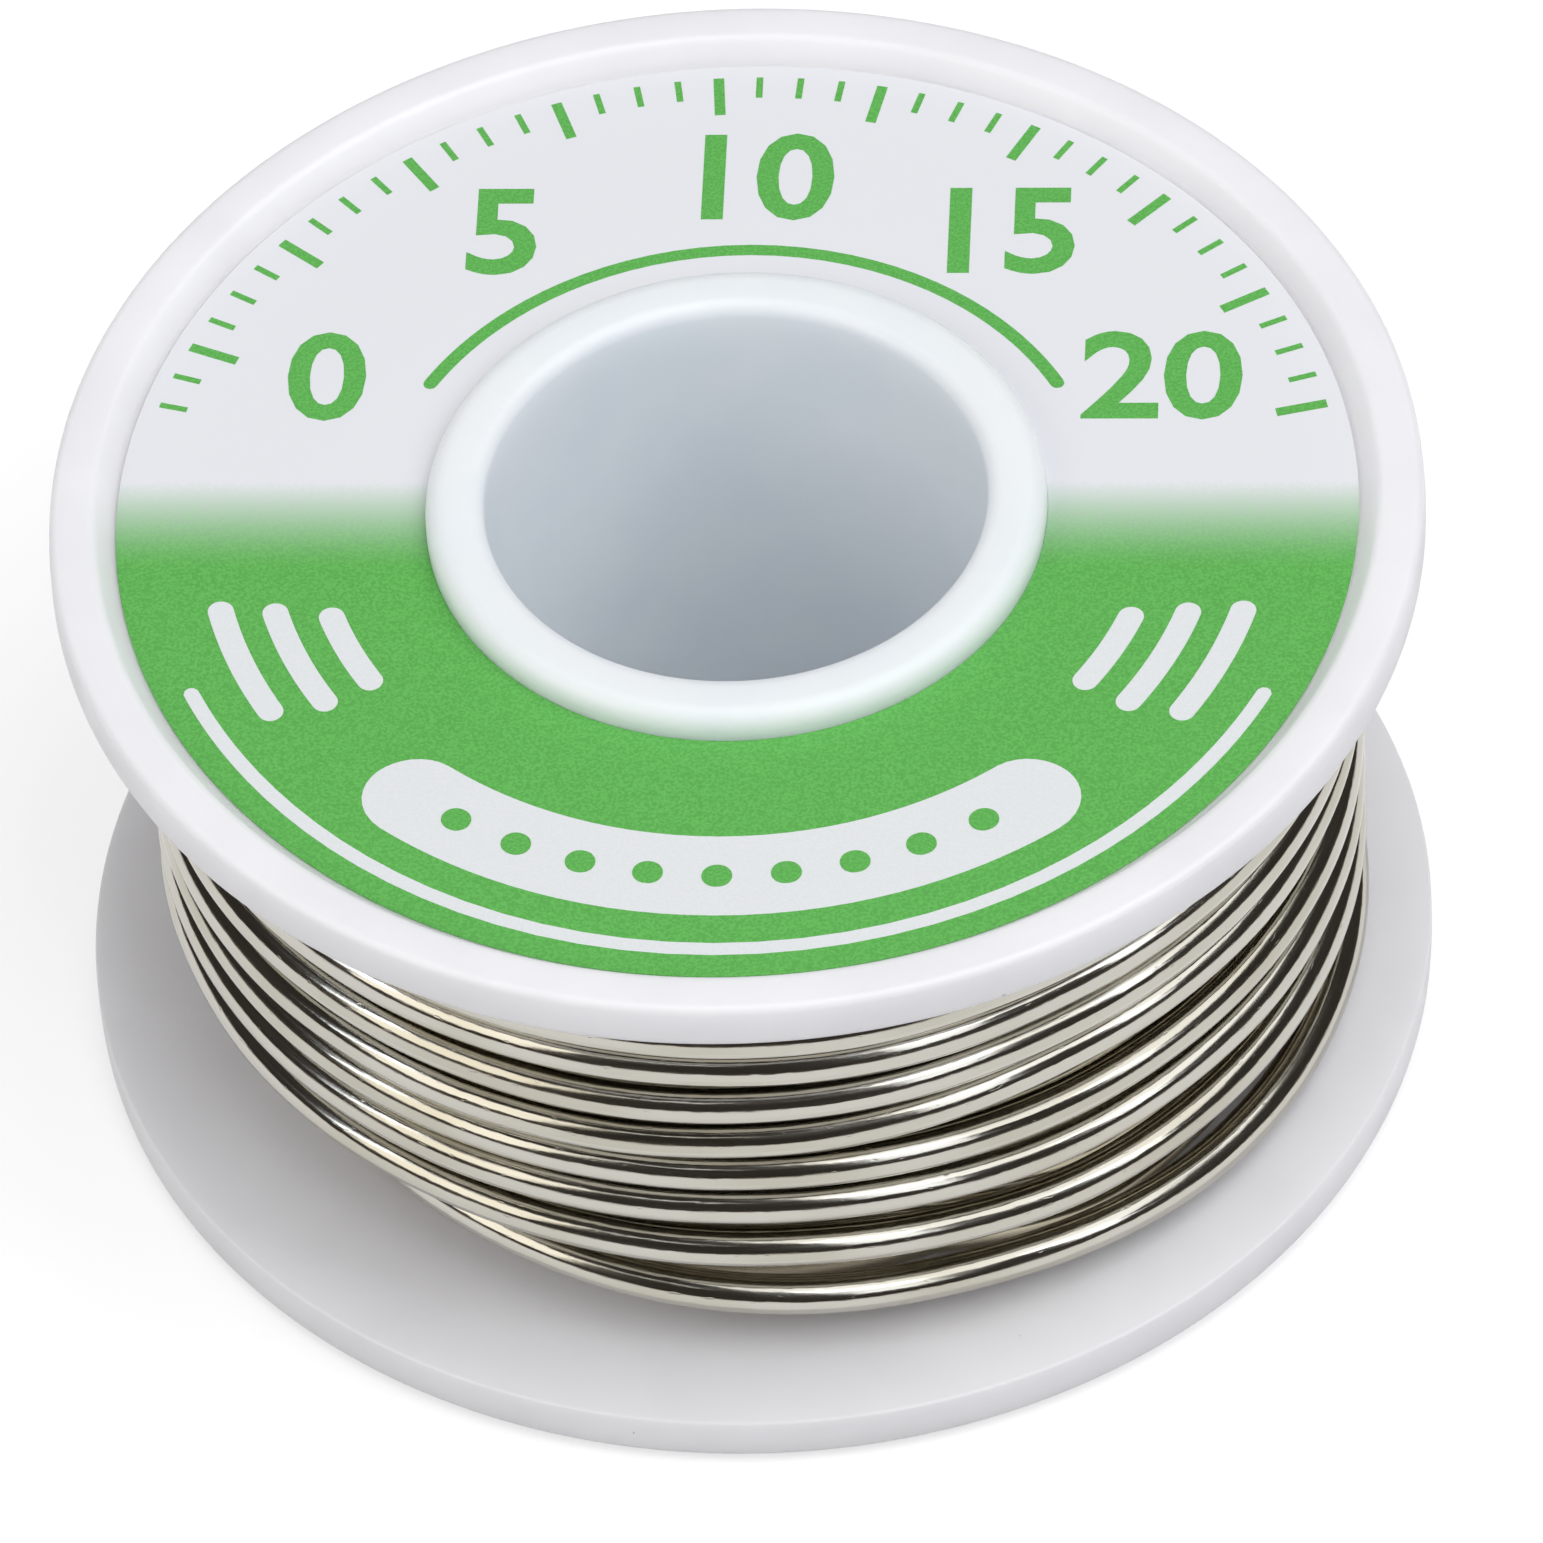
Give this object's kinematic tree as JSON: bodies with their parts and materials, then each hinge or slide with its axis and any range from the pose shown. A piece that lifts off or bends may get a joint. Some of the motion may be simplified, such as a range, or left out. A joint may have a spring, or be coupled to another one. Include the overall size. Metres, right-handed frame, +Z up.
{
  "type": "solder wire spool",
  "caption": "Small plastic spool with two flanges and a through bore, filled with thick solder wire wound in layers.",
  "frame": {"origin": "on the spool's axis, on the surface that the lower flange stands on", "axes": "+Z up along the spool's axis, the label on top; +X to the right and -Y towards the viewer, as the label is read"},
  "size_m": [0.053, 0.053, 0.0268],
  "materials": {
    "spool_plastic": "white moulded styrene, satin, with a few fine dark specks",
    "label_paper": "printed paper ring label, white above and green below",
    "solder": "bright drawn tin alloy wire"
  },
  "bodies": {
    "root": {"lower_flange": "spool_plastic", "upper_flange": "spool_plastic", "hub_tube": "spool_plastic", "face_label": "label_paper", "solder_inner_layers": "solder", "solder_outer_layer": "solder"}
  },
  "joints": []
}
